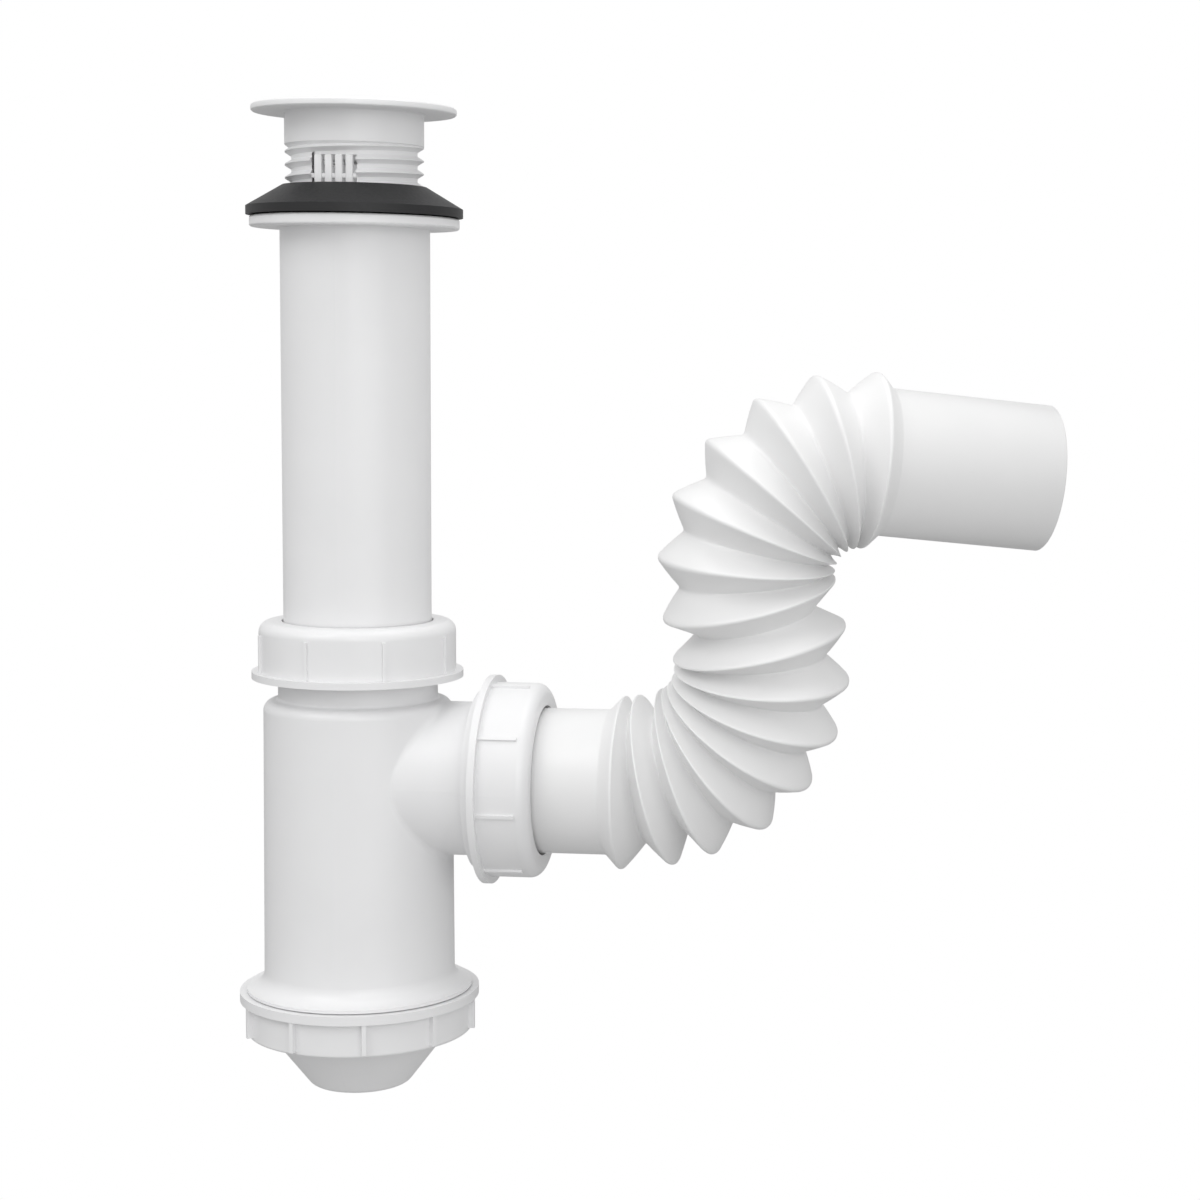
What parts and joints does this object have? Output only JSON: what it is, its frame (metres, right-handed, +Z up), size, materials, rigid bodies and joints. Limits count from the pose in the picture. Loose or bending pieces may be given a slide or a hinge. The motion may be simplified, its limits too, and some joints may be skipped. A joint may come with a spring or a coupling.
{
  "type": "flexible trap",
  "caption": "Wash-basin bottle trap with a threaded waste valve on top, ribbed compression nuts, a domed clean-out cup and a bent flexible bellows outlet pipe.",
  "frame": {"origin": "on the valve's axis at the underside of its flange, where the basin lies", "axes": "+Z up along the valve and the down tube, +X from the bottle to its side outlet"},
  "size_m": [0.2273, 0.0662, 0.2704],
  "materials": {
    "white_plastic": "moulded, semi-gloss white",
    "pipe_plastic": "blow-moulded, satin white",
    "black_rubber": "matt black rubber",
    "seal_plastic": "soft, pale"
  },
  "bodies": {
    "valve": {"valve_body": "white_plastic"},
    "washer": {"sealing_washer": "black_rubber"},
    "tube": {"down_tube": "white_plastic"},
    "trap": {"trap_body": "white_plastic"},
    "upper_ring": {"upper_seal": "seal_plastic"},
    "neck_nut": {"upper_nut": "white_plastic"},
    "outlet_ring": {"outlet_seal": "seal_plastic"},
    "side_nut": {"outlet_nut": "white_plastic"},
    "pipe": {"flexible_pipe": "pipe_plastic"},
    "cup": {"bottom_cup": "white_plastic", "bottom_gasket": "seal_plastic"},
    "foot_nut": {"bottom_nut": "white_plastic"}
  },
  "joints": [
    {"name": "washer_travel", "type": "slide", "parent": "valve", "child": "washer", "axis": [0, 0, 1], "range_m": [-0.01401, 0.01576]},
    {"name": "tube_turn", "type": "hinge", "parent": "washer", "child": "tube", "pos_m": [0, 0, 0], "axis": [0, 0, 1], "range_deg": [-1440, 1620]},
    {"name": "trap_height", "type": "slide", "parent": "tube", "child": "trap", "axis": [0, 0, 1], "range_m": [-0.06, 0.014]},
    {"name": "upper_nut_travel", "type": "slide", "parent": "trap", "child": "upper_ring", "axis": [0, 0, 1], "range_m": [0, 0.00961]},
    {"name": "upper_nut_turn", "type": "hinge", "parent": "upper_ring", "child": "neck_nut", "pos_m": [0, 0, 0], "axis": [0, 0, 1], "range_deg": [0, 1080]},
    {"name": "outlet_nut_travel", "type": "slide", "parent": "trap", "child": "outlet_ring", "axis": [1, 0, 0], "range_m": [0, 0.00961]},
    {"name": "outlet_nut_turn", "type": "hinge", "parent": "outlet_ring", "child": "side_nut", "pos_m": [0, 0, -0.1815], "axis": [1, 0, 0], "range_deg": [0, 1080]},
    {"name": "cup_travel", "type": "slide", "parent": "trap", "child": "cup", "axis": [0, 0, 1], "range_m": [-0.00631, 0]},
    {"name": "foot_nut_turn", "type": "hinge", "parent": "cup", "child": "foot_nut", "pos_m": [0, 0, 0], "axis": [0, 0, 1], "range_deg": [-756, 0]},
    {"name": "pipe_swivel", "type": "hinge", "parent": "trap", "child": "pipe", "pos_m": [0, 0, -0.1815], "axis": [1, 0, 0], "continuous": true}
  ],
  "couplings": [
    {"joint": "washer_travel", "follows": "tube_turn", "m_per_rad": 0.00055704},
    {"joint": "upper_nut_travel", "follows": "upper_nut_turn", "m_per_rad": 0.0005093},
    {"joint": "outlet_nut_travel", "follows": "outlet_nut_turn", "m_per_rad": 0.0005093},
    {"joint": "cup_travel", "follows": "foot_nut_turn", "m_per_rad": 0.00047746}
  ]
}
